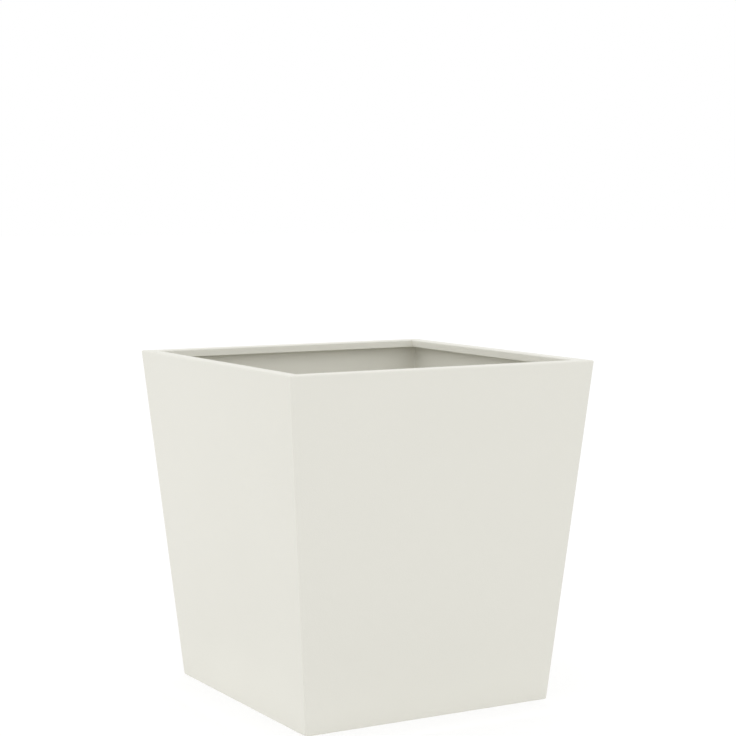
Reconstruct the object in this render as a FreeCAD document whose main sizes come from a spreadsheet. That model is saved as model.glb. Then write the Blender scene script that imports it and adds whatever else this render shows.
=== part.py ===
import FreeCAD, Part

import os
import re

import Sketcher

# A tapered square floor planter folded from sheet steel, in millimetres.
# The origin is the middle of its footprint on the floor and +Z is up.
# Two wall halves, each folded once down a corner, make the four faces: the front half has the faces
# along -Y and +X, the rear half those along +Y and -X. At the left corner (-X, -Y) and the right corner
# (+X, +Y) a lap flange of the rear half lies on the inside of the front half and is clamped by studs.
# Each wall turns inwards at the top into a rim with a lip, and at the bottom into a foot with a landing.
# The base tray lies on the landing and is screwed down through it.

# Driving dimensions: name, value, meaning.
SIZES = [
    ("topWidth", 440, "outside width across the rim"),
    ("baseWidth", 357, "outside width across the foot"),
    ("height", 448, "floor to the top of the rim"),
    ("sheetThick", 1.2, "wall sheet"),
    ("bendInside", 0.8, "inside radius of every fold"),
    ("rimDepth", 18, "rim, from the outer face to the face of the lip"),
    ("lipDrop", 10, "lip, from the top of the rim down"),
    ("footDepth", 20, "foot, from the outer face to the far face of the upstand"),
    ("footHeight", 22, "floor to the top of the landing"),
    ("landingDepth", 24, "landing, from the near face of the upstand inwards"),
    ("mitreGap", 0.4, "gap between the halves across the rim and the foot"),
    ("trayThick", 1.2, "tray sheet"),
    ("trayEdge", 15, "tray, from its underside to the top of its edge"),
    ("trayClear", 0.5, "gap between the tray and the walls"),
    ("trayNotch", 4, "corner notch between two edges of the tray"),
    ("drainDiameter", 12, "drain hole"),
    ("drainCircle", 190, "circle of the outer drain holes"),
    ("drainCount", 4, "outer drain holes"),
    ("lapWidth", 26, "lap flange, from the corner inwards"),
    ("lapTopClear", 8, "lap flange, below the rim sheet"),
    ("lapTrayClear", 5, "lap flange, above the edge of the tray"),
    ("reliefHeight", 1.5, "relief notch at each end of a lap fold"),
    ("reliefDepth", 2.4, "relief notch, past the sheet of the front half"),
    ("studCount", 4, "studs at a seam"),
    ("studInset", 14, "stud axis from the corner"),
    ("studMargin", 30, "end stud from the end of the lap"),
    ("threadDiameter", 5, "outside of every thread"),
    ("threadPlay", 0.1, "bore of a nut over its thread"),
    ("threadShow", 2, "thread past the nut"),
    ("tipChamfer", 0.5, "chamfer at the end of a thread"),
    ("holeDiameter", 5.5, "clearance hole"),
    ("washerInside", 5.3, "washer bore"),
    ("washerOutside", 10, "washer"),
    ("washerThick", 1, "washer"),
    ("nutWidth", 8, "nut across flats"),
    ("nutHeight", 4, "nut"),
    ("nutFace", 7.4, "flat end of a nut"),
    ("nutChamfer", 0.5, "height of the chamfer at the corners of a nut"),
    ("headDiameter", 9.5, "screw head"),
    ("headHeight", 2.7, "screw head"),
    ("headRim", 0.6, "straight rim of the screw head"),
    ("socketWidth", 3, "screw socket across flats"),
    ("socketDepth", 1.6, "screw socket"),
    ("screwCount", 2, "tray screws on a side"),
    ("screwPitch", 200, "between the tray screws of a side"),
    ("screwInset", 13, "screw axis from the near face of the upstand"),
    ("overrun", 10, "what a cutting block passes the sheet by"),
]

# Lengths worked out from the driving dimensions.
DERIVED = {
    "taper": "(topWidth - baseWidth) / 2 / height",
    "skin": "sheetThick * sqrt(1 + taper ^ 2)",
    "traySkin": "trayThick * sqrt(1 + taper ^ 2)",
    "bendOutside": "bendInside + sheetThick",
    "trayBend": "bendInside + trayThick",
    "lipFace": "topWidth / 2 - rimDepth",
    "lipBack": "lipFace + sheetThick",
    "upstandFar": "baseWidth / 2 - footDepth",
    "upstandNear": "upstandFar + sheetThick",
    "landingEnd": "upstandNear - landingDepth",
    "lapLow": "footHeight + trayEdge + lapTrayClear",
    "lapHigh": "height - sheetThick - lapTopClear",
    "studLow": "lapLow + studMargin",
    "studHigh": "lapHigh - studMargin",
    "studLean": "sqrt(1 + 2 * taper ^ 2)",
    "studRow": "(studHigh - studLow) * studLean",
    "studLength": "sheetThick + washerThick + nutHeight + threadShow",
    "traySeat": "trayThick + sheetThick",
    "screwLength": "2 * washerThick + traySeat + nutHeight + threadShow",
    "screwLine": "upstandNear - screwInset",
    "screwRow": "(screwCount - 1) * screwPitch",
    "nutCorner": "nutWidth / sqrt(3)",
    "reach": "topWidth + baseWidth",
}

ORIGIN = FreeCAD.Vector(0, 0, 0)
X_AXIS = FreeCAD.Vector(1, 0, 0)
Z_AXIS = FreeCAD.Vector(0, 0, 1)
QUARTER_TURN = 90
DIAGONAL_TURN = 135
FULL_TURN = 360
SIDES = ["front", "right", "rear", "left"]
CORNERS = ["left", "right"]

# Two places closer than this share of the sheet are one place.
CLOSE_SHARE = 0.1

# How a sketch counts its own axes, backwards from the last, and the points of a curve.
SKETCH_AXES = ["y axis", "x axis"]
SKETCH_X = SKETCH_AXES.index("x axis") - len(SKETCH_AXES)
SKETCH_Y = SKETCH_AXES.index("y axis") - len(SKETCH_AXES)
CURVE_POINTS = ["whole curve", "start", "end", "centre"]
START = CURVE_POINTS.index("start")
END = CURVE_POINTS.index("end")
CENTRE = CURVE_POINTS.index("centre")

doc = FreeCAD.newDocument("Planter")
sheet = doc.addObject("Spreadsheet::Sheet", "Sizes")


def fillSheet():
    for row, (name, size, meaning) in enumerate(SIZES, start=1):
        sheet.set("A%d" % row, name)
        sheet.set("B%d" % row, str(size))
        sheet.set("C%d" % row, meaning)
        sheet.setAlias("B%d" % row, name)
    doc.recompute()


# The text of a formula with its derived lengths written out and its sizes taken from the sheet.
def formula(text):
    sizes = [name for name, size, meaning in SIZES]

    def swap(word):
        if word.group() in DERIVED:
            return "(" + formula(DERIVED[word.group()]) + ")"
        return "Sizes." + word.group() if word.group() in sizes else word.group()

    return re.sub(r"[A-Za-z]+", swap, text)


def value(text):
    return float(sheet.evalExpression(formula(text)))


def bind(thing, **formulas):
    for name, text in formulas.items():
        thing.setExpression(name, formula(text))


def moveTo(thing, x="0", y="0", z="0"):
    for axis, text in zip("xyz", (x, y, z)):
        thing.setExpression("Placement.Base." + axis, formula(text))


# Half the outside width of the planter at a height, less an inset.
def halfWidth(level, inset="0"):
    return "(baseWidth / 2 + taper * (%s) - (%s))" % (level, inset)


# The two sides of the planter at a height, less an inset, for a block or a fold that follows the taper.
def sides(inset, lift="0"):
    def plus(level):
        return halfWidth("%s + %s" % (level, lift), inset)

    def minus(level):
        return "(-%s)" % plus(level)

    return minus, plus


def part(kind, name):
    return doc.addObject("Part::" + kind, name)


# A block between two heights whose four sides may lean: each side is a function of the height.
def leaningBlock(block, low, high, west, east, south, north):
    bind(block, Ymin=low, Xmin=west(low), Xmax=east(low), Zmin="-" + north(low), Zmax="-" + south(low))
    bind(block, Ymax=high, X2min=west(high), X2max=east(high))
    bind(block, Z2min="-" + north(high), Z2max="-" + south(high))
    block.Placement = FreeCAD.Placement(ORIGIN, FreeCAD.Rotation(X_AXIS, QUARTER_TURN))
    return block


def taperedBlock(block, low, high, inset, lift="0"):
    minus, plus = sides(inset, lift)
    return leaningBlock(block, low, high, minus, plus, minus, plus)


def squareBlock(name, half, low, high):
    block = part("Box", name)
    bind(block, Length="2 * %s" % half, Width="2 * %s" % half, Height="%s - %s" % (high, low))
    moveTo(block, "-" + half, "-" + half, low)
    return block


# A block at a seam corner that follows the taper: how far it runs from the corner along the front
# half's wall, and how far it lies behind that wall's outer face.
def cornerBlock(name, corner, along, inward, low, high):
    alongStart, alongEnd = [sides(inset) for inset in along]
    inwardStart, inwardEnd = [sides(inset) for inset in inward]
    block = part("Wedge", name)
    if corner == "left":
        return leaningBlock(block, low, high, alongStart[0], alongEnd[0], inwardStart[0], inwardEnd[0])
    return leaningBlock(block, low, high, inwardEnd[1], inwardStart[1], alongEnd[1], alongStart[1])


def cut(name, base, tool):
    result = part("Cut", name)
    result.Base = base
    result.Tool = tool
    return result


def fuse(name, shapes, refine=True):
    result = part("MultiFuse", name)
    result.Shapes = shapes
    result.Refine = refine
    return result


def common(name, shapes):
    result = part("MultiCommon", name)
    result.Shapes = shapes
    return result


def close(a, b):
    return abs(a - b) < value("sheetThick") * CLOSE_SHARE


# An edge of a fold that runs round the planter as a square, at a half width and a height.
def squareFold(half, level):
    halfValue = value(half)
    levelValue = value(level)

    def test(edge):
        points = [vertex.Point for vertex in edge.Vertexes]
        points.append((points[0] + points[-1]) / 2)
        return all(close(max(abs(p.x), abs(p.y)), halfValue) and close(p.z, levelValue) for p in points)

    return test


# An edge of a fold that runs up a corner between two heights: its place in plan is a function of height.
def cornerFold(x, y, low, high):
    lowValue = value(low)
    highValue = value(high)

    def onLine(point):
        level = "%.9f" % point.z
        return close(point.x, value(x(level))) and close(point.y, value(y(level)))

    def test(edge):
        levels = [vertex.Point.z for vertex in edge.Vertexes]
        if max(levels) - min(levels) < value("bendOutside"):
            return False
        if min(levels) < lowValue and not close(min(levels), lowValue):
            return False
        if max(levels) > highValue and not close(max(levels), highValue):
            return False
        return all(onLine(vertex.Point) for vertex in edge.Vertexes)

    return test


# Rounds the chosen edges of a solid: each choice is a test on an edge and a radius.
def fold(name, base, choices):
    doc.recompute()
    result = part("Fillet", name)
    result.Base = base
    edges = []
    for number, edge in enumerate(base.Shape.Edges, start=1):
        for test, radius in choices:
            if test(edge):
                edges.append((number, value(radius), value(radius)))
    result.Edges = edges
    return result


# The four walls in one piece, with rim, lip, foot and landing, and every fold but the lap folds.
def wallRing():
    rimUnder = "(height - sheetThick)"
    landingUnder = "(footHeight - sheetThick)"
    outside = taperedBlock(part("Wedge", "Outside"), "0", "height", "0")
    hollow = taperedBlock(part("Wedge", "Hollow"), "sheetThick", rimUnder, "skin")
    walls = cut("Walls", outside, hollow)
    lips = squareBlock("Lips", "lipBack", "(height - lipDrop)", "height")
    upstands = squareBlock("Upstands", "upstandNear", "0", "footHeight")
    filled = fuse("Filled", [walls, lips, upstands])
    mouth = squareBlock("Mouth", "lipFace", "(height - lipDrop - overrun)", "(height + overrun)")
    underside = squareBlock("Underside", "upstandFar", "(0 - overrun)", landingUnder)
    window = squareBlock("Window", "landingEnd", "0", "(footHeight + overrun)")
    openings = fuse("Openings", [mouth, underside, window], refine=False)
    plain = cut("PlainRing", filled, openings)
    choices = [
        (squareFold("(topWidth / 2)", "height"), "bendOutside"),
        (squareFold(halfWidth(rimUnder, "skin"), rimUnder), "bendInside"),
        (squareFold("lipFace", "height"), "bendOutside"),
        (squareFold("lipBack", rimUnder), "bendInside"),
        (squareFold("(baseWidth / 2)", "0"), "bendOutside"),
        (squareFold(halfWidth("sheetThick", "skin"), "sheetThick"), "bendInside"),
        (squareFold("upstandFar", "0"), "bendOutside"),
        (squareFold("upstandNear", "sheetThick"), "bendInside"),
        (squareFold("upstandNear", "footHeight"), "bendOutside"),
        (squareFold("upstandFar", landingUnder), "bendInside"),
    ]
    for inset, radius in [("0", "bendOutside"), ("skin", "bendInside")]:
        minus, plus = sides(inset)
        choices.append((cornerFold(plus, minus, "0", "height"), radius))
        choices.append((cornerFold(minus, plus, "0", "height"), radius))
    return fold("Ring", plain, choices)


# The space of the rear half: behind the diagonal by a distance, and inside the sheet of the front half.
def rearSpace(name, behindBy):
    minus, plus = sides("skin")
    block = part("Wedge", name + "Inside")
    leaningBlock(block, "(0 - overrun)", "(height + overrun)", lambda level: "(-reach)", plus,
                 minus, lambda level: "reach")
    behind = part("Box", name + "Behind")
    bind(behind, Length="reach", Width="2 * reach", Height="height + 2 * overrun")
    behind.Placement = FreeCAD.Placement(ORIGIN, FreeCAD.Rotation(Z_AXIS, DIAGONAL_TURN))
    moveTo(behind, "(reach - %s) / sqrt(2)" % behindBy, "(reach + %s) / sqrt(2)" % behindBy, "-overrun")
    return common(name, [block, behind])


# Where the row of tray screws of a side starts, on top of the tray: X runs along the row, Z is up.
def screwFrame(side):
    start = FreeCAD.Vector(-value("screwRow") / 2, -value("screwLine"), value("footHeight + trayThick"))
    turn = FreeCAD.Placement(ORIGIN, FreeCAD.Rotation(Z_AXIS, QUARTER_TURN * SIDES.index(side)))
    return turn.multiply(FreeCAD.Placement(start, FreeCAD.Rotation()))


# Where the row of studs of a seam starts, on the inner face of the front half: X runs up the row,
# Z points inwards.
def studFrame(corner):
    taper = value("taper")
    along = value(halfWidth("studLow", "studInset"))
    face = value(halfWidth("studLow", "skin"))
    if corner == "left":
        start = FreeCAD.Vector(-along, -face, value("studLow"))
        row = FreeCAD.Vector(-taper, -taper, 1).normalize()
        inwards = FreeCAD.Vector(0, 1, taper).normalize()
    else:
        start = FreeCAD.Vector(face, along, value("studLow"))
        row = FreeCAD.Vector(taper, taper, 1).normalize()
        inwards = FreeCAD.Vector(-1, 0, taper).normalize()
    return FreeCAD.Placement(start, FreeCAD.Rotation(row, inwards.cross(row), inwards, "ZXY"))


# Clearance holes along a row.
def holeRow(name, frame, count, length):
    holes = []
    for number in range(count):
        hole = part("Cylinder", "%s%d" % (name, number + 1))
        bind(hole, Radius="holeDiameter / 2", Height="2 * overrun")
        step = value(length) / max(count - 1, 1)
        shift = FreeCAD.Vector(step * number, 0, -value("overrun"))
        hole.Placement = frame.multiply(FreeCAD.Placement(shift, FreeCAD.Rotation()))
        holes.append(hole)
    return holes


def landingHoles(side):
    return holeRow(side + "ScrewHole", screwFrame(side), int(value("screwCount")), "screwRow")


def studHoles(corner):
    return holeRow(corner + "StudHole", studFrame(corner), int(value("studCount")), "studRow")


def frontWallHalf(ring):
    half = cut("FrontHalf", ring, rearSpace("RearSpace", "(0 - mitreGap / 2)"))
    holes = fuse("FrontHoles", landingHoles("front") + landingHoles("right"))
    return cut("front_wall_half", half, holes)


def rearWallHalf(ring):
    half = common("RearHalf", [ring, rearSpace("RearSheet", "(mitreGap / 2)")])
    laps = []
    notches = []
    choices = []
    for corner in CORNERS:
        lapSheet = ("skin", "2 * skin")
        laps.append(cornerBlock(corner + "Lap", corner, ("0", "lapWidth"), lapSheet, "lapLow", "lapHigh"))
        notch = ("-overrun", "skin + reliefDepth")
        notches.append(cornerBlock(corner + "LowNotch", corner, notch, notch,
                                   "(lapLow - reliefHeight)", "lapLow"))
        notches.append(cornerBlock(corner + "HighNotch", corner, notch, notch,
                                   "lapHigh", "(lapHigh + reliefHeight)"))
        for wall, lap, radius in [("0", "skin", "bendOutside"), ("skin", "2 * skin", "bendInside")]:
            if corner == "left":
                choices.append((cornerFold(sides(wall)[0], sides(lap)[0], "lapLow", "lapHigh"), radius))
            else:
                choices.append((cornerFold(sides(lap)[1], sides(wall)[1], "lapLow", "lapHigh"), radius))
    joined = fuse("RearJoined", [half] + laps)
    notched = cut("RearNotched", joined, fuse("Notches", notches))
    folded = fold("RearFolded", notched, choices)
    holes = landingHoles("rear") + landingHoles("left") + studHoles("left") + studHoles("right")
    return cut("rear_wall_half", folded, fuse("RearHoles", holes))


def newBody(name, frame=None):
    body = doc.addObject("PartDesign::Body", name)
    if frame is not None:
        body.Placement = frame
    return body


def originFeature(body, role):
    return next(feature for feature in body.Origin.OriginFeatures if feature.Role == role)


def newSketch(body, name, role="XY_Plane", lift="0"):
    sketch = body.newObject("Sketcher::SketchObject", name)
    sketch.AttachmentSupport = [(originFeature(body, role), "")]
    sketch.MapMode = "FlatFace"
    sketch.setExpression("AttachmentOffset.Base.z", formula(lift))
    return sketch


# Ties a point of a sketch to its place. The sketch's origin is the start of its x axis.
def pin(sketch, curve, point, x, y):
    for kind, text, axis in [("DistanceX", x, SKETCH_Y), ("DistanceY", y, SKETCH_X)]:
        size = value(text)
        if size == 0:
            sketch.addConstraint(Sketcher.Constraint("PointOnObject", curve, point, axis))
        elif size > 0:
            tie = Sketcher.Constraint(kind, SKETCH_X, START, curve, point, size)
            number = sketch.addConstraint(tie)
            sketch.setExpression("Constraints[%d]" % number, formula(text))
        else:
            tie = Sketcher.Constraint(kind, curve, point, SKETCH_X, START, -size)
            number = sketch.addConstraint(tie)
            sketch.setExpression("Constraints[%d]" % number, formula("-(%s)" % text))


def drawCircle(sketch, diameter, x="0", y="0"):
    centre = FreeCAD.Vector(value(x), value(y), 0)
    curve = sketch.addGeometry(Part.Circle(centre, Z_AXIS, value(diameter) / 2))
    pin(sketch, curve, CENTRE, x, y)
    number = sketch.addConstraint(Sketcher.Constraint("Diameter", curve, value(diameter)))
    sketch.setExpression("Constraints[%d]" % number, formula(diameter))


def drawOutline(sketch, corners):
    points = [FreeCAD.Vector(value(x), value(y), 0) for x, y in corners]
    first = sketch.GeometryCount
    for number, point in enumerate(points):
        sketch.addGeometry(Part.LineSegment(point, points[(number + 1) % len(points)]))
    for number, (x, y) in enumerate(corners):
        before = first + (number - 1) % len(corners)
        sketch.addConstraint(Sketcher.Constraint("Coincident", before, END, first + number, START))
        pin(sketch, first + number, START, x, y)


def drawHexagon(sketch, width):
    corner = "(%s) / sqrt(3)" % width
    half = "(%s) / 2" % width
    drawOutline(sketch, [
        (corner, "0"), (corner + " / 2", half), ("-" + corner + " / 2", half),
        ("-" + corner, "0"), ("-" + corner + " / 2", "-" + half), (corner + " / 2", "-" + half),
    ])


def pad(body, name, sketch, length):
    feature = body.newObject("PartDesign::Pad", name)
    feature.Profile = sketch
    bind(feature, Length=length)
    return feature


def pocket(body, name, sketch, depth):
    feature = body.newObject("PartDesign::Pocket", name)
    feature.Profile = sketch
    bind(feature, Length=depth)
    return feature


def turned(body, name, corners):
    sketch = newSketch(body, name + "Profile", "XZ_Plane")
    drawOutline(sketch, corners)
    feature = body.newObject("PartDesign::Revolution", name)
    feature.Profile = sketch
    feature.ReferenceAxis = (sketch, ["V_Axis"])
    feature.Angle = FULL_TURN
    return feature


def roundEdges(body, name, base, test, radius):
    doc.recompute()
    names = ["Edge%d" % number for number, edge in enumerate(base.Shape.Edges, start=1) if test(edge)]
    feature = body.newObject("PartDesign::Fillet", name)
    feature.Base = (base, names)
    bind(feature, Radius=radius)
    return feature


def turnedPattern(body, name, originals, count):
    feature = body.newObject("PartDesign::PolarPattern", name)
    feature.Originals = originals
    feature.Axis = (originFeature(body, "Z_Axis"), [""])
    feature.Angle = FULL_TURN
    bind(feature, Occurrences=count)
    body.Tip = feature
    return feature


def rowPattern(body, length, count):
    tip = body.Tip
    feature = body.newObject("PartDesign::LinearPattern", "Row")
    feature.TransformMode = "Whole shape"
    feature.Originals = [tip]
    feature.Direction = (originFeature(body, "X_Axis"), [""])
    bind(feature, Length=length, Occurrences=count)
    body.Tip = feature
    return feature


def baseTray():
    body = newBody("base_tray")
    moveTo(body, z="footHeight")
    outside = body.newObject("PartDesign::AdditiveWedge", "TrayOutside")
    taperedBlock(outside, "0", "trayEdge", "skin + trayClear", "footHeight")
    hollow = body.newObject("PartDesign::SubtractiveWedge", "TrayHollow")
    taperedBlock(hollow, "trayThick", "(trayEdge + overrun)", "skin + trayClear + traySkin", "footHeight")
    flats = sides("skin + trayClear", "footHeight")[1]
    insides = sides("skin + trayClear + traySkin", "footHeight")[1]
    outerFold = roundEdges(body, "OuterFolds", hollow, squareFold(flats("0"), "0"), "trayBend")
    innerFold = roundEdges(body, "InnerFolds", outerFold,
                           squareFold(insides("trayThick"), "trayThick"), "bendInside")
    notchSketch = newSketch(body, "NotchSketch", lift="trayEdge")
    inner = "(%s - trayNotch)" % flats("0")
    outer = "(%s + overrun)" % flats("0")
    drawOutline(notchSketch, [(inner, inner), (outer, inner), (outer, outer), (inner, outer)])
    notch = pocket(body, "Notch", notchSketch, "trayEdge + overrun")
    turnedPattern(body, "Notches", [notch], "4")
    middleSketch = newSketch(body, "MiddleDrainSketch", lift="trayThick")
    drawCircle(middleSketch, "drainDiameter")
    pocket(body, "MiddleDrain", middleSketch, "trayThick + overrun")
    drainSketch = newSketch(body, "DrainSketch", lift="trayThick")
    drawCircle(drainSketch, "drainDiameter", "drainCircle / 2 / sqrt(2)", "drainCircle / 2 / sqrt(2)")
    drain = pocket(body, "Drain", drainSketch, "trayThick + overrun")
    turnedPattern(body, "Drains", [drain], "drainCount")
    holeSketch = newSketch(body, "ScrewHoleSketch", lift="trayThick")
    for number in range(int(value("screwCount"))):
        drawCircle(holeSketch, "holeDiameter", "%d * screwPitch - screwRow / 2" % number, "-screwLine")
    holes = pocket(body, "ScrewHoles", holeSketch, "trayThick + overrun")
    turnedPattern(body, "ScrewHolesAround", [holes], "4")
    return body


def washers(name, frame, seats, length, count):
    body = newBody(name, frame)
    for number, seat in enumerate(seats, start=1):
        sketch = newSketch(body, "Washer%dSketch" % number, lift=seat)
        drawCircle(sketch, "washerOutside")
        drawCircle(sketch, "washerInside")
        pad(body, "Washer%d" % number, sketch, "washerThick")
    rowPattern(body, length, count)
    return body


# Nuts whose lower ends lie at a height of the row's frame.
def nuts(name, frame, seat, length, count):
    body = newBody(name, frame)
    top = "(%s + nutHeight)" % seat
    bore = "(threadDiameter + threadPlay) / 2"
    turned(body, "Blank", [
        (bore, seat), ("nutFace / 2", seat), ("nutCorner", "%s + nutChamfer" % seat),
        ("nutCorner", "%s - nutChamfer" % top), ("nutFace / 2", top), (bore, top),
    ])
    flats = newSketch(body, "FlatsSketch", lift="%s + overrun" % top)
    drawCircle(flats, "2 * nutCorner + overrun")
    drawHexagon(flats, "nutWidth")
    pocket(body, "Flats", flats, "nutHeight + 2 * overrun")
    rowPattern(body, length, count)
    return body


def studs(name, frame, length, count):
    body = newBody(name, frame)
    turned(body, "Stud", [
        ("0", "0"), ("threadDiameter / 2", "0"), ("threadDiameter / 2", "studLength - tipChamfer"),
        ("threadDiameter / 2 - tipChamfer", "studLength"), ("0", "studLength"),
    ])
    rowPattern(body, length, count)
    return body


def screws(name, frame, length, count):
    body = newBody(name, frame)
    seat = "washerThick"
    top = "(washerThick + headHeight)"
    tip = "(washerThick - screwLength)"
    blank = turned(body, "Blank", [
        ("0", tip), ("threadDiameter / 2 - tipChamfer", tip),
        ("threadDiameter / 2", "%s + tipChamfer" % tip), ("threadDiameter / 2", seat),
        ("headDiameter / 2", seat), ("headDiameter / 2", top), ("0", top),
    ])

    def crown(edge):
        return all(close(vertex.Point.z, value(top)) for vertex in edge.Vertexes)

    roundEdges(body, "Crown", blank, crown, "headHeight - headRim")
    socket = newSketch(body, "SocketSketch", lift=top)
    drawHexagon(socket, "socketWidth")
    pocket(body, "Socket", socket, "socketDepth")
    rowPattern(body, length, count)
    return body


def seamFasteners(corner):
    frame = studFrame(corner)
    row = ("studRow", "studCount")
    return [
        studs(corner + "_seam_studs", frame, *row),
        washers(corner + "_seam_washers", frame, ["sheetThick"], *row),
        nuts(corner + "_seam_nuts", frame, "(sheetThick + washerThick)", *row),
    ]


def trayFasteners(side):
    frame = screwFrame(side)
    row = ("screwRow", "screwCount")
    under = "(0 - traySeat - washerThick)"
    return [
        screws(side + "_base_screws", frame, *row),
        washers(side + "_base_washers", frame, ["0", under], *row),
        nuts(side + "_base_nuts", frame, "(%s - nutHeight)" % under, *row),
    ]


# Stops if anything in the document failed, then writes one file for each piece.
def writeParts(pieces):
    doc.recompute()
    for thing in doc.Objects:
        if "Invalid" in thing.State or "Error" in thing.State:
            raise RuntimeError("%s failed: %s" % (thing.Name, thing.State))
    for piece in pieces:
        if piece.Shape.isNull() or not piece.Shape.isValid():
            raise RuntimeError("%s has no valid shape" % piece.Label)
    os.makedirs("parts", exist_ok=True)
    for piece in pieces:
        piece.Shape.exportStep("parts/%s.step" % piece.Label)
        print("%-22s %2d solids %12.1f mm3" % (piece.Label, len(piece.Shape.Solids), piece.Shape.Volume))


fillSheet()
wallSheet = wallRing()
allPieces = [frontWallHalf(wallSheet), rearWallHalf(wallSheet), baseTray()]
for seam in CORNERS:
    allPieces += seamFasteners(seam)
for wall in SIDES:
    allPieces += trayFasteners(wall)
writeParts(allPieces)
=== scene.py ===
import math

import bmesh
import bpy
from mathutils import Matrix, Vector


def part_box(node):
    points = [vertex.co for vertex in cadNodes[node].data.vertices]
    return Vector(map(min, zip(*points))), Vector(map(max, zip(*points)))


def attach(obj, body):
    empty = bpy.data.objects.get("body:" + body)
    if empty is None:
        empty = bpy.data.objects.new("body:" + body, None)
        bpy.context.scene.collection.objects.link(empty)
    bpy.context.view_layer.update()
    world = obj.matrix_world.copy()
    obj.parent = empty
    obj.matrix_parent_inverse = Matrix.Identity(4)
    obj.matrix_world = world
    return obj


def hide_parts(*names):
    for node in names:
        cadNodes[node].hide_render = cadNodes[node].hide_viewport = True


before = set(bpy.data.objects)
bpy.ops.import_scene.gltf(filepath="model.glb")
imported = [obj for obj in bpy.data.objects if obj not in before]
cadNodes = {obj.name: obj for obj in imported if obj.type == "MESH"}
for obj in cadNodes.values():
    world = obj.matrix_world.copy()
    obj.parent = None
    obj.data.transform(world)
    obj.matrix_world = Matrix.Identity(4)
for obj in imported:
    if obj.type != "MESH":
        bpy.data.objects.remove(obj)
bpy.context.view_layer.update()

white = (1, 1, 1, 1)
noiseMiddle = 0.5               # a noise goes up and down about this value
mixSockets = {"share": 0, "first": 6, "second": 7, "result": 2}     # of a Mix node for colours
print("stage: frame loaded,", len(cadNodes), "nodes")


# A socket that Python's signs work on: each sign adds its Math node.
class Signal:
    def __init__(self, paint, socket):
        self.paint = paint
        self.socket = socket

    def maths(self, operation, other):
        return self.paint.maths(operation, self, other)

    def __add__(self, other):
        return self.paint.maths("ADD", self, other)

    def __radd__(self, other):
        return self.paint.maths("ADD", other, self)

    def __sub__(self, other):
        return self.paint.maths("SUBTRACT", self, other)

    def __rsub__(self, other):
        return self.paint.maths("SUBTRACT", other, self)

    def __mul__(self, other):
        return self.paint.maths("MULTIPLY", self, other)

    def __rmul__(self, other):
        return self.paint.maths("MULTIPLY", other, self)


# The nodes of a new material or world. Its add method makes any node: type, settings, then values or
# links of its sockets.
class Paint:
    def __init__(self, owner):
        owner.use_nodes = True
        self.owner = owner
        self.tree = owner.node_tree
        self.tree.nodes.clear()

    def add(self, kind, settings=None, sockets=None, out=0):
        node = self.tree.nodes.new("ShaderNode" + kind)
        for name, setting in (settings or {}).items():
            setattr(node, name, setting)
        for name, given in (sockets or {}).items():
            if isinstance(given, Signal):
                self.tree.links.new(given.socket, node.inputs[name])
            else:
                node.inputs[name].default_value = given
        return Signal(self, node.outputs[out]) if len(node.outputs) else node

    def maths(self, operation, first, second):
        return self.add("Math", {"operation": operation}, {0: first, 1: second})

    # Object coordinates, moved by a Mapping node.
    def place(self, shift=(0, 0, 0)):
        coordinates = self.add("TexCoord", out="Object")
        return self.add("Mapping", sockets={"Vector": coordinates, "Location": shift})

    def noise(self, where, pattern):
        sockets = {"Vector": where, "Scale": pattern["scale"], "Detail": pattern["detail"]}
        return self.add("TexNoise", sockets=sockets)

    # A colour between two others.
    def mix(self, share, first, second):
        given = {"share": share, "first": first, "second": second}
        sockets = {mixSockets[name]: value for name, value in given.items()}
        return self.add("Mix", {"data_type": "RGBA"}, sockets, out=mixSockets["result"])

    # Waves on the surface; under is the Normal of the waves that lie below them.
    def bump(self, where, pattern, under=None):
        sockets = {"Height": self.noise(where, pattern), "Strength": pattern["strength"],
                   "Distance": pattern["height"]}
        if under is not None:
            sockets["Normal"] = under
        return self.add("Bump", sockets=sockets)

    # The shader itself: its socket names are written with _ for a space.
    def finish(self, **sockets):
        names = {name.replace("_", " "): given for name, given in sockets.items()}
        shader = self.add("BsdfPrincipled", sockets=names)
        self.add("OutputMaterial", sockets={"Surface": shader})
        return self.owner


def newPaint(name):
    return Paint(bpy.data.materials.new(name))


# Satin powder coat: a faint drift of shade, a fine orange peel and a finer grain.
# Scales are waves per metre, and heights are in metres.
powderCoat = {
    "shade": (0.794, 0.784, 0.716, 1),
    "thinShade": (0.778, 0.768, 0.701, 1),
    "drift": {"scale": 7, "detail": 3},
    "roughness": 0.46,
    "roughnessDrift": 0.08,
    "refraction": 1.5,
    "peel": {"scale": 650, "detail": 1, "strength": 1, "height": 0.00009},
    "grain": {"scale": 3200, "detail": 2, "strength": 1, "height": 0.00002},
    "trayShift": (0.31, 0.17, 0.05),    # so that the tray's pattern differs from the walls'
}


def makePowderCoat(name, shift=(0, 0, 0)):
    paint = newPaint(name)
    where = paint.place(shift)
    drift = paint.noise(where, powderCoat["drift"])
    peel = paint.bump(where, powderCoat["peel"])
    return paint.finish(
        Base_Color=paint.mix(drift, powderCoat["shade"], powderCoat["thinShade"]),
        Roughness=powderCoat["roughness"] + (drift - noiseMiddle) * powderCoat["roughnessDrift"],
        IOR=powderCoat["refraction"],
        Normal=paint.bump(where, powderCoat["grain"], under=peel),
    )


# Bright zinc plating: pale grey with a bluish cast that comes and goes, and a fine grain.
zincPlate = {
    "shade": (0.60, 0.61, 0.63, 1),
    "blueShade": (0.52, 0.56, 0.63, 1),
    "cloud": {"scale": 260, "detail": 3},
    "roughness": 0.27,
    "roughnessDrift": 0.18,
    "grain": {"scale": 5200, "detail": 1, "strength": 0.4, "height": 0.000008},
}


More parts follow.
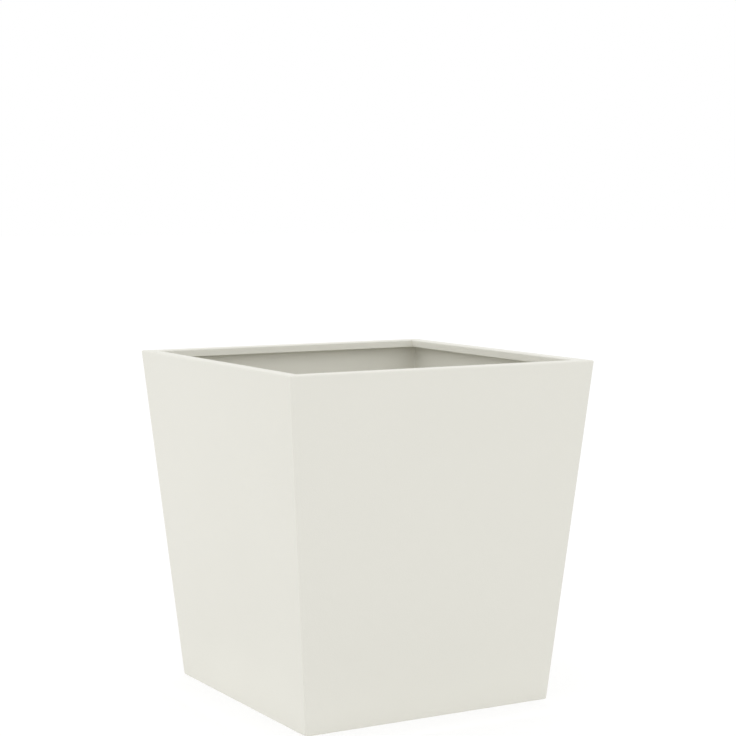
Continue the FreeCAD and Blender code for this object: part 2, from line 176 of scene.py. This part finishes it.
def makeZincPlate(name):
    paint = newPaint(name)
    where = paint.place()
    cloud = paint.noise(where, zincPlate["cloud"])
    return paint.finish(
        Base_Color=paint.mix(cloud, zincPlate["shade"], zincPlate["blueShade"]),
        Metallic=1,
        Roughness=zincPlate["roughness"] + (cloud - noiseMiddle) * zincPlate["roughnessDrift"],
        Normal=paint.bump(where, zincPlate["grain"]),
    )


def dress(piece, material):
    piece.data.materials.clear()
    piece.data.materials.append(material)


wallFinish = makePowderCoat("wallPowderCoat")
trayFinish = makePowderCoat("trayPowderCoat", shift=powderCoat["trayShift"])
zincFinish = makeZincPlate("brightZinc")
sheetFinishes = {"front_wall_half": wallFinish, "rear_wall_half": wallFinish, "base_tray": trayFinish}
for nodeName, nodeObject in cadNodes.items():
    dress(nodeObject, sheetFinishes.get(nodeName, zincFinish))
print("stage: finishes made")


def deselectAll():
    bpy.ops.object.select_all(action="DESELECT")


# A new primitive, with nothing else selected.
def make(tool, **settings):
    deselectAll()
    tool(**settings)
    return bpy.context.object


def useOnly(piece):
    deselectAll()
    piece.select_set(True)
    bpy.context.view_layer.objects.active = piece


# Moves the place, turn and scale of a piece into its mesh.
def settle(piece):
    useOnly(piece)
    bpy.ops.object.transform_apply(location=True, rotation=True, scale=True)


# Opens a piece in edit mode with only the vertices, edges or faces selected that pass a test.
def pick(piece, mode, test):
    useOnly(piece)
    bpy.ops.object.mode_set(mode="EDIT")
    bpy.ops.mesh.select_mode(type=mode)
    bpy.ops.mesh.select_all(action="DESELECT")
    cage = bmesh.from_edit_mesh(piece.data)
    items = {"VERT": cage.verts, "EDGE": cage.edges, "FACE": cage.faces}[mode]
    for item in items:
        if test(item):
            item.select = True
    cage.select_flush_mode()
    bmesh.update_edit_mesh(piece.data)


def leaveEdit():
    bpy.ops.object.mode_set(mode="OBJECT")


# Gives a piece a modifier and applies it.
def keep(piece, kind, **settings):
    useOnly(piece)
    bpy.ops.object.modifier_add(type=kind)
    modifier = piece.modifiers[-1]
    for name, setting in settings.items():
        setattr(modifier, name, setting)
    bpy.ops.object.modifier_apply(modifier=modifier.name)


# Points closer to each other than this, in metres, are one, and closer to a cut they lie on it.
samePlace = 0.0000001


def everything(item):
    return True


# Joins, cuts or meets a piece with another, which is used up.
def combine(piece, other, operation):
    keep(piece, "BOOLEAN", operation=operation, object=other, solver="EXACT")
    bpy.data.objects.remove(other)
    pick(piece, "VERT", everything)
    bpy.ops.mesh.remove_doubles(threshold=samePlace)
    leaveEdit()


# A test for the edges or faces that lie flat at a level.
def flatAt(level, near):
    return lambda item: all(abs(vertex.co.z - level) < near for vertex in item.verts)


# Metric coarse thread of the studs and screws, in metres.
thread = {
    "outside": 0.005,
    "pitch": 0.0008,
    "depth": 0.00049,
    "crest": 0.00005,           # bevel of the sharp crest
    "steps": 28,                # round a turn
    "turnsBelow": 2,            # that are cut off at the seat
    "turnsSpare": 5,            # that are cut off at both ends together
    "near": 0.00002,            # points of two turns closer than this are one
    "sleeveSteps": 48,          # round the sleeve that shapes the tip
    "tipChamfer": 0.0005,
}


# Cuts the piece in edit mode off at a level, keeps one side of the cut and closes it.
def trim(level, **clear):
    bpy.ops.mesh.select_all(action="SELECT")
    bpy.ops.mesh.bisect(plane_co=(0, 0, level), plane_no=(0, 0, 1), use_fill=True,
                        threshold=samePlace, **clear)


# A threaded rod from the floor of its own frame up to a length, with a chamfered tip.
def threadedRod(name, length):
    outer = thread["outside"] / 2
    near = thread["near"]
    # Half of an upright diamond is the section of one turn.
    rod = make(bpy.ops.mesh.primitive_plane_add, size=math.sqrt(2), rotation=(0, 0, math.pi / 4))
    settle(rod)
    rod.rotation_euler = (math.pi / 2, 0, 0)
    settle(rod)
    rod.scale = (thread["depth"], 1, thread["pitch"] / 2)
    rod.location = (outer - thread["depth"], 0, -thread["turnsBelow"] * thread["pitch"])
    settle(rod)
    innermost = min(vertex.co.x for vertex in rod.data.vertices)
    pick(rod, "VERT", lambda vertex: vertex.co.x < innermost + near)
    bpy.ops.mesh.delete(type="VERT")
    leaveEdit()
    pick(rod, "VERT", lambda vertex: vertex.co.x > outer - near)
    bpy.ops.mesh.bevel(offset=thread["crest"], affect="VERTICES")
    leaveEdit()
    # It winds up past both ends, and what is spare is cut off.
    turns = math.ceil(length / thread["pitch"]) + thread["turnsSpare"]
    keep(rod, "SCREW", screw_offset=thread["pitch"], iterations=turns, steps=thread["steps"],
         render_steps=thread["steps"], use_merge_vertices=False)
    pick(rod, "VERT", everything)
    bpy.ops.mesh.remove_doubles(threshold=near)
    trim(0, clear_inner=True)
    trim(length, clear_outer=True)
    bpy.ops.mesh.select_all(action="SELECT")
    bpy.ops.mesh.normals_make_consistent(inside=False)
    leaveEdit()
    # A sleeve with a chamfered end leaves only what lies inside it.
    sleeve = make(bpy.ops.mesh.primitive_cylinder_add, vertices=thread["sleeveSteps"],
                  radius=outer + near, depth=length + 2 * near, location=(0, 0, length / 2))
    settle(sleeve)
    pick(sleeve, "EDGE", flatAt(length + near, near))
    bpy.ops.mesh.bevel(offset=thread["tipChamfer"] + 2 * near, segments=1)
    leaveEdit()
    combine(rod, sleeve, "INTERSECT")
    rod.name = name
    return rod


# Button-head screw with a hexagon socket, its seat at the floor of its own frame, in metres.
buttonScrew = {
    "headDiameter": 0.0095,
    "headHeight": 0.0027,
    "headRim": 0.0006,          # upright edge under the dome
    "headSteps": 56,            # round the head
    "domeSteps": 8,             # from the rim to the top
    "socketSides": 6,
    "socketWidth": 0.003,       # across flats
    "socketDepth": 0.0016,
    "socketEdge": 0.00012,      # bevel at the floor of the socket
    "socketEdgeSteps": 2,
    "near": 0.000027,           # what the shank reaches into the head
    "shankLength": 0.0104,
}


def makeScrew(name):
    top = buttonScrew["headHeight"]
    near = buttonScrew["near"]
    head = make(bpy.ops.mesh.primitive_cylinder_add, vertices=buttonScrew["headSteps"],
                radius=buttonScrew["headDiameter"] / 2, depth=top, location=(0, 0, top / 2))
    settle(head)
    pick(head, "EDGE", flatAt(top, near))
    bpy.ops.mesh.bevel(offset=top - buttonScrew["headRim"], segments=buttonScrew["domeSteps"])
    leaveEdit()
    socketCorner = buttonScrew["socketWidth"] / math.sqrt(3)
    socket = make(bpy.ops.mesh.primitive_cylinder_add, vertices=buttonScrew["socketSides"],
                  radius=socketCorner, depth=2 * buttonScrew["socketDepth"], location=(0, 0, top))
    settle(socket)
    pick(socket, "EDGE", flatAt(top - buttonScrew["socketDepth"], near))
    bpy.ops.mesh.bevel(offset=buttonScrew["socketEdge"], segments=buttonScrew["socketEdgeSteps"])
    leaveEdit()
    combine(head, socket, "DIFFERENCE")
    shank = threadedRod(name + "Shank", buttonScrew["shankLength"] + near)
    shank.rotation_euler = (math.pi, 0, 0)
    shank.location = (0, 0, near)
    settle(shank)
    combine(head, shank, "UNION")
    head.name = name
    return head


# The solids of a CAD node, as groups of points that lie further apart than a gap along an axis.
def groupsOf(nodeName, axis, gap):
    points = [vertex.co.copy() for vertex in cadNodes[nodeName].data.vertices]
    points.sort(key=lambda point: getattr(point, axis))
    groups = [[points[0]]]
    for before, point in zip(points, points[1:]):
        if getattr(point, axis) - getattr(before, axis) > gap:
            groups.append([])
        groups[-1].append(point)
    return groups


# The middle of the box that a group of points fills.
def middleOf(points):
    lows = [min(getattr(point, axis) for point in points) for axis in "xyz"]
    highs = [max(getattr(point, axis) for point in points) for axis in "xyz"]
    return Vector([(low + high) / 2 for low, high in zip(lows, highs)])


# The rows of fasteners: a seam's runs up its corner, and a side's along its wall.
fastenerRow = {
    "seamAxis": "z",
    "sideAxes": {"front": "x", "right": "y", "rear": "x", "left": "y"},
    "gap": 0.03,                # wider than a washer, and narrower than the space between two fasteners
    "smoothAngle": 32,          # degrees
}


def middlesOf(nodeName, axis):
    return [middleOf(group) for group in groupsOf(nodeName, axis, fastenerRow["gap"])]


# Copies of a pattern piece, one at each place, joined into one piece that stands for a CAD node.
def repeatFor(pattern, name, nodeName, places):
    copies = []
    for number, place in enumerate(places):
        copy = bpy.data.objects.new("%s%d" % (name, number), pattern.data.copy())
        bpy.context.scene.collection.objects.link(copy)
        copy.data.transform(place)
        copies.append(copy)
    deselectAll()
    for copy in copies:
        copy.select_set(True)
    bpy.context.view_layer.objects.active = copies[0]
    bpy.ops.object.join()
    row = bpy.context.object
    row.name = name
    bpy.ops.object.shade_smooth_by_angle(angle=math.radians(fastenerRow["smoothAngle"]))
    dress(row, zincFinish)
    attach(row, "root")
    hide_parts(nodeName)


# Welded stud: a threaded rod on the inner face of the front half, through the lap flange and its
# washer. It stands square to the wall, which leans as the row of studs does.
weldedStud = {
    "length": 0.0082,
    "sheet": 0.0012,            # of the lap flange
    "washer": 0.001,            # thickness
    "inwards": {"left": (0, 1, 0), "right": (-1, 0, 0)},    # in plan, from the wall
}


def makeSeamStuds():
    pattern = threadedRod("studPattern", weldedStud["length"])
    seat = weldedStud["sheet"] + weldedStud["washer"] / 2
    for corner, inPlan in weldedStud["inwards"].items():
        middles = middlesOf(corner + "_seam_washers", fastenerRow["seamAxis"])
        rise = middles[-1] - middles[0]
        across = Vector(inPlan)
        inwards = (across - Vector((0, 0, across.dot(rise) / rise.z))).normalized()
        turn = inwards.to_track_quat("Z", "X").to_matrix().to_4x4()
        places = [Matrix.Translation(middle - inwards * seat) @ turn for middle in middles]
        repeatFor(pattern, corner + "SeamStudsThreaded", corner + "_seam_studs", places)
    bpy.data.objects.remove(pattern)


makeSeamStuds()
print("stage: seam studs threaded")


def makeBaseScrews():
    pattern = makeScrew("screwPattern")
    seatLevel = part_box("front_base_washers")[1].z
    for side, axis in fastenerRow["sideAxes"].items():
        middles = middlesOf(side + "_base_washers", axis)
        places = [Matrix.Translation((middle.x, middle.y, seatLevel)) for middle in middles]
        repeatFor(pattern, side + "BaseScrewsThreaded", side + "_base_screws", places)
    bpy.data.objects.remove(pattern)


makeBaseScrews()
print("stage: tray screws threaded")


# White floor: seen directly it is white with a soft shadow, and to all other light plain and matte.
# It is open from below, and under the planter light passes it, so that the underside can be looked at.
# Under the foot it still looks white from above; under the tray, seen through the drain holes, it is
# dark grey, a painted shade for the floor in the planter's shadow.
# A ring has the half width where it starts, its shade and glow where it is seen, and its plain shade.
studioFloor = {
    "size": 60,                 # metres
    "level": -0.0003,           # just clear of the foot
    "rings": {
        "whiteFloor": {"seen": (0.40, 0.40, 0.40, 1), "glow": 0.62, "plain": (0.80, 0.80, 0.80, 1)},
        "footFloor": {"half": 0.1783, "seen": (0.40, 0.40, 0.40, 1), "glow": 0.62},
        # Painted shade: a dark grey where the camera sees the shadowed floor under the tray, while
        # light passes it.
        "paintedShadeUnderTray": {"half": 0.150, "seen": (0.10, 0.10, 0.10, 1), "glow": 0},
    },
}


# 1 for what the camera sees, also in a gloss or through something clear, and 0 for all other light.
def seenDirectly(paint):
    camera = paint.add("LightPath", out="Is Camera Ray")
    gloss = paint.add("LightPath", out="Is Glossy Ray")
    through = paint.add("LightPath", out="Is Transmission Ray")
    return camera.maths("MAXIMUM", gloss).maths("MAXIMUM", through)


def finishRing(name, ring):
    paint = newPaint(name)
    clear = paint.add("BsdfTransparent")
    matte = paint.add("BsdfDiffuse", sockets={"Color": ring["seen"]})
    light = paint.add("Emission", sockets={"Color": white, "Strength": ring["glow"]})
    seen = paint.add("AddShader", sockets={0: matte, 1: light})
    plain = paint.add("BsdfDiffuse", sockets={"Color": ring["plain"]}) if "plain" in ring else clear
    above = paint.add("MixShader", sockets={0: seenDirectly(paint), 1: plain, 2: seen})
    behind = paint.add("NewGeometry", out="Backfacing")
    both = paint.add("MixShader", sockets={0: behind, 1: above, 2: clear})
    paint.add("OutputMaterial", sockets={"Surface": both})
    return paint.owner


def makeFloor():
    floor = make(bpy.ops.mesh.primitive_plane_add, size=studioFloor["size"],
                 location=(0, 0, studioFloor["level"]))
    settle(floor)
    floor.name = "studioFloor"
    rings = studioFloor["rings"]
    halves = [ring["half"] for ring in rings.values() if "half" in ring]
    pick(floor, "FACE", everything)
    for outer, inner in zip([studioFloor["size"] / 2] + halves, halves):
        bpy.ops.mesh.inset(thickness=outer - inner)
    leaveEdit()
    floor.data.materials.clear()
    for name, ring in rings.items():
        floor.data.materials.append(finishRing(name, ring))
    for face in floor.data.polygons:
        reach = max(abs(face.center.x), abs(face.center.y))
        face.material_index = sum(reach < half for half in halves)


# The room lights the planter at one strength, and is plain white where it is seen.
whiteRoom = {
    "light": 1.07,
    "seenLight": 1,
}


def lightWorld():
    world = bpy.data.worlds.new("whiteRoom")
    paint = Paint(world)
    plain = paint.add("Background", sockets={"Color": white, "Strength": whiteRoom["light"]})
    seen = paint.add("Background", sockets={"Color": white, "Strength": whiteRoom["seenLight"]})
    both = paint.add("MixShader", sockets={0: seenDirectly(paint), 1: plain, 2: seen})
    paint.add("OutputWorld", sockets={"Surface": both})
    bpy.context.scene.world = world


# Soft boxes, hidden from the camera: place, what they look at, width, height and power in watts.
# The low ones and the strips at the foot even out the lower part of the two near faces.
softBoxes = {
    "keyBox": {"place": (-0.9, -2.6, 1.9), "target": (0, 0, 0.25),
               "wide": 1.8, "high": 1.8, "power": 1.2},
    "lowFrontBox": {"place": (-0.15, -0.85, 0.08), "target": (-0.05, 0, 0.08),
                    "wide": 0.5, "high": 0.5, "power": 0.37},
    "lowSideBox": {"place": (0.9, -0.02, 0.08), "target": (0, 0, 0.08),
                   "wide": 0.5, "high": 0.5, "power": 0.085},
    "footFrontStrip": {"place": (0, -0.24, 0.01), "target": (0, 0, 0.01),
                       "wide": 0.38, "high": 0.016, "power": 0.0052},
    "footSideStrip": {"place": (0.24, 0, 0.01), "target": (0, 0, 0.01),
                      "wide": 0.38, "high": 0.016, "power": 0.0050},
}


def hangSoftBoxes():
    for name, box in softBoxes.items():
        lamp = bpy.data.lights.new(name, "AREA")
        lamp.shape = "RECTANGLE"
        lamp.size = box["wide"]
        lamp.size_y = box["high"]
        lamp.energy = box["power"]
        holder = bpy.data.objects.new(name, lamp)
        bpy.context.scene.collection.objects.link(holder)
        holder.location = box["place"]
        aim = Vector(box["target"]) - Vector(box["place"])
        holder.rotation_euler = aim.to_track_quat("-Z", "Y").to_euler()
        holder.visible_camera = False


makeFloor()
lightWorld()
hangSoftBoxes()
print("stage: studio lit")


# Camera fitted to the planter's corners in the photograph. From the middle of the planter's floor it
# goes up, to the right and back along its line of sight, each in half widths of the rim.
view = {
    "halfWidth": 0.22,          # metres
    "azimuth": 60.15,           # degrees round from the front
    "elevation": 5.068,         # degrees up
    "distance": 11.431,         # back
    "sideways": 0.0456,         # to the right
    "level": 1.9579,            # up
    "focalPixels": 1893.1,
    "framePixels": 736,
    "sensor": 36,               # millimetres
    "nearest": 0.01,            # metres, as the next
    "farthest": 200,
}


def setCamera():
    turn = math.radians(view["azimuth"])
    tilt = math.radians(view["elevation"])
    back = Vector((math.sin(turn) * math.cos(tilt), -math.cos(turn) * math.cos(tilt), math.sin(tilt)))
    right = Vector((math.cos(turn), math.sin(turn), 0))
    lens = bpy.data.cameras.new("photoCamera")
    lens.sensor_width = view["sensor"]
    lens.lens = view["focalPixels"] / view["framePixels"] * view["sensor"]
    lens.clip_start = view["nearest"]
    lens.clip_end = view["farthest"]
    camera = bpy.data.objects.new("photoCamera", lens)
    bpy.context.scene.collection.objects.link(camera)
    eye = back * view["distance"] + right * view["sideways"] + Vector((0, 0, view["level"]))
    camera.location = eye * view["halfWidth"]
    camera.rotation_mode = "QUATERNION"
    camera.rotation_quaternion = (-back).to_track_quat("-Z", "Y")
    bpy.context.scene.camera = camera


setCamera()
bpy.context.scene.view_settings.view_transform = "Standard"
print("stage: camera set")
